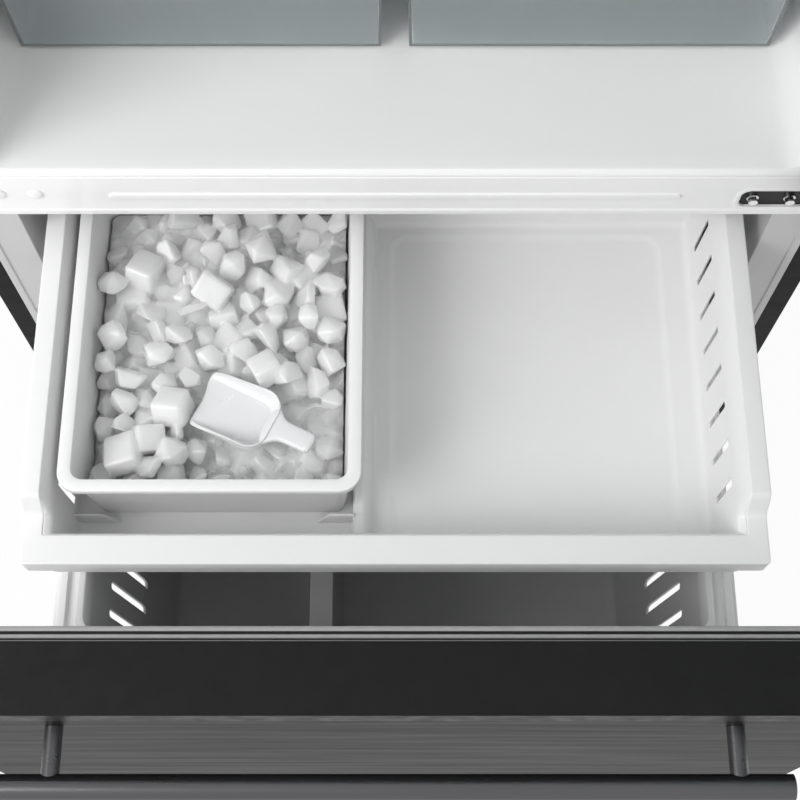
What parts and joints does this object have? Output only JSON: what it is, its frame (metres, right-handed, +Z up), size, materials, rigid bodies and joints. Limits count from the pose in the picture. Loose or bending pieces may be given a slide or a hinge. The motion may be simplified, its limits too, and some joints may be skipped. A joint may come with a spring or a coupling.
{
  "type": "bottom freezer refrigerator",
  "caption": "Refrigerator with a hinged fridge door above a pull-out freezer that carries a basket, an upper drawer and an ice bin with its scoop.",
  "frame": {"origin": "on the floor, under the middle of the cabinet without its doors", "axes": "X to the right as seen from the front, Y from the front to the back, Z up"},
  "size_m": [1.267, 1.2169, 1.714],
  "materials": {
    "black_steel": "satin dark steel, smooth",
    "galvanised": "galvanised sheet",
    "white_paint": "glossy white paint",
    "white_plastic": "glossy moulded white plastic",
    "liner": "thermoformed pale liner",
    "black_plastic": "fine textured black plastic",
    "grey_plastic": "grey plastic",
    "foam": "rigid insulating foam",
    "gasket": "soft ribbed magnetic gasket",
    "rubber": "black rubber",
    "bolt": "bright plated steel",
    "hinge": "black coated steel",
    "slide": "zinc plated steel",
    "handle": "dark brushed steel",
    "copper": "dark tubes with copper ends",
    "aluminium": "bare aluminium",
    "clear_plastic": "clear tinted plastic",
    "glass": "tempered glass",
    "lens": "frosted lamp lens",
    "ice": "cloudy ice",
    "scoop": "translucent white plastic",
    "black_paint": "black enamel"
  },
  "bodies": {
    "cabinet": {"outer_shell": "black_steel", "back_panel": "galvanised", "base_pan": "galvanised", "cabinet_foam": "foam", "fridge_liner": "liner", "freezer_liner": "liner", "mullion_rail": "white_paint", "mullion_plugs": "white_plastic", "middle_hinge": "hinge", "top_hinge": "hinge", "hinge_bolts": "bolt", "top_hinge_cover": "black_plastic", "toe_grille": "black_plastic", "compressor": "black_paint", "compressor_mounts": "rubber", "condenser": "black_paint", "condenser_fan_motor": "grey_plastic", "drip_tray": "black_plastic", "rear_cover": "galvanised", "power_inlet": "black_plastic", "evaporator": "aluminium", "evaporator_cover": "white_plastic", "evaporator_fan_motor": "grey_plastic", "air_duct": "white_plastic", "fridge_lamp": "lens", "control_panel": "white_plastic", "glass_shelves": "glass", "shelf_frames": "white_plastic", "shelf_tracks": "white_paint", "slide_outer_members": "slide"},
    "freezer_pullout": {"slide_inner_members": "slide", "drawer_brackets": "white_paint", "freezer_door_skin": "black_steel", "freezer_door_caps": "black_plastic", "freezer_door_foam": "foam", "freezer_door_liner": "liner", "freezer_door_gasket": "gasket", "freezer_handle": "handle", "lower_basket": "white_plastic", "basket_divider": "white_plastic"},
    "slide_middle": {"slide_middle_members": "slide"},
    "upper_drawer": {"upper_drawer": "white_plastic"},
    "ice_bin": {"ice_bin": "white_plastic", "ice_cubes": "ice"},
    "ice_scoop": {"ice_scoop": "scoop"},
    "fridge_door": {"fridge_door_skin": "black_steel", "fridge_door_caps": "black_plastic", "fridge_door_foam": "foam", "fridge_door_liner": "liner", "fridge_door_gasket": "gasket", "fridge_handle": "handle", "door_bins": "clear_plastic"},
    "crisper_left": {"crisper_left": "clear_plastic"},
    "crisper_right": {"crisper_right": "clear_plastic"},
    "temperature_knob": {"temperature_knob": "grey_plastic"},
    "condenser_fan": {"condenser_fan": "grey_plastic"},
    "evaporator_fan": {"evaporator_fan": "white_plastic"},
    "rear_rollers": {"rear_rollers": "black_plastic"},
    "leg_left": {"leg_left": "black_plastic"},
    "leg_right": {"leg_right": "black_plastic"}
  },
  "joints": [
    {"name": "fridge_door_swing", "type": "hinge", "parent": "cabinet", "child": "fridge_door", "pos_m": [0.363, -0.335, 0.668], "axis": [0, 0, 1], "range_deg": [-130, 5]},
    {"name": "freezer_slide", "type": "slide", "parent": "cabinet", "child": "freezer_pullout", "axis": [0, -1, 0], "range_m": [-0.36, 0.026]},
    {"name": "slide_middle_travel", "type": "slide", "parent": "cabinet", "child": "slide_middle", "axis": [0, -1, 0], "range_m": [-0.18, 0.013]},
    {"name": "upper_drawer_slide", "type": "slide", "parent": "freezer_pullout", "child": "upper_drawer", "axis": [0, 1, 0], "range_m": [0, 0.13]},
    {"name": "ice_bin_lift", "type": "slide", "parent": "upper_drawer", "child": "ice_bin", "axis": [0, 0, 1], "range_m": [0, 0.022]},
    {"name": "ice_scoop_lift", "type": "slide", "parent": "ice_bin", "child": "ice_scoop", "axis": [0, 0, 1], "range_m": [0, 0.09]},
    {"name": "crisper_left_slide", "type": "slide", "parent": "cabinet", "child": "crisper_left", "axis": [0, -1, 0], "range_m": [0, 0.22]},
    {"name": "crisper_right_slide", "type": "slide", "parent": "cabinet", "child": "crisper_right", "axis": [0, -1, 0], "range_m": [0, 0.22]},
    {"name": "temperature_knob_turn", "type": "hinge", "parent": "cabinet", "child": "temperature_knob", "pos_m": [0, -0.17, 1.604], "axis": [0, 0, 1], "range_deg": [-150, 150]},
    {"name": "condenser_fan_spin", "type": "hinge", "parent": "cabinet", "child": "condenser_fan", "pos_m": [-0.081, 0.1995, 0.1345], "axis": [1, 0, 0], "continuous": true},
    {"name": "evaporator_fan_spin", "type": "hinge", "parent": "cabinet", "child": "evaporator_fan", "pos_m": [0, 0.202, 0.568], "axis": [0, 1, 0], "continuous": true},
    {"name": "rear_rollers_spin", "type": "hinge", "parent": "cabinet", "child": "rear_rollers", "pos_m": [0, 0.25, 0.017], "axis": [1, 0, 0], "continuous": true},
    {"name": "leg_left_turn", "type": "hinge", "parent": "cabinet", "child": "leg_left", "pos_m": [-0.331, -0.255, 0], "axis": [0, 0, 1], "continuous": true},
    {"name": "leg_right_turn", "type": "hinge", "parent": "cabinet", "child": "leg_right", "pos_m": [0.331, -0.255, 0], "axis": [0, 0, 1], "continuous": true}
  ],
  "couplings": [
    {"joint": "slide_middle_travel", "follows": "freezer_slide", "ratio": 0.5}
  ]
}
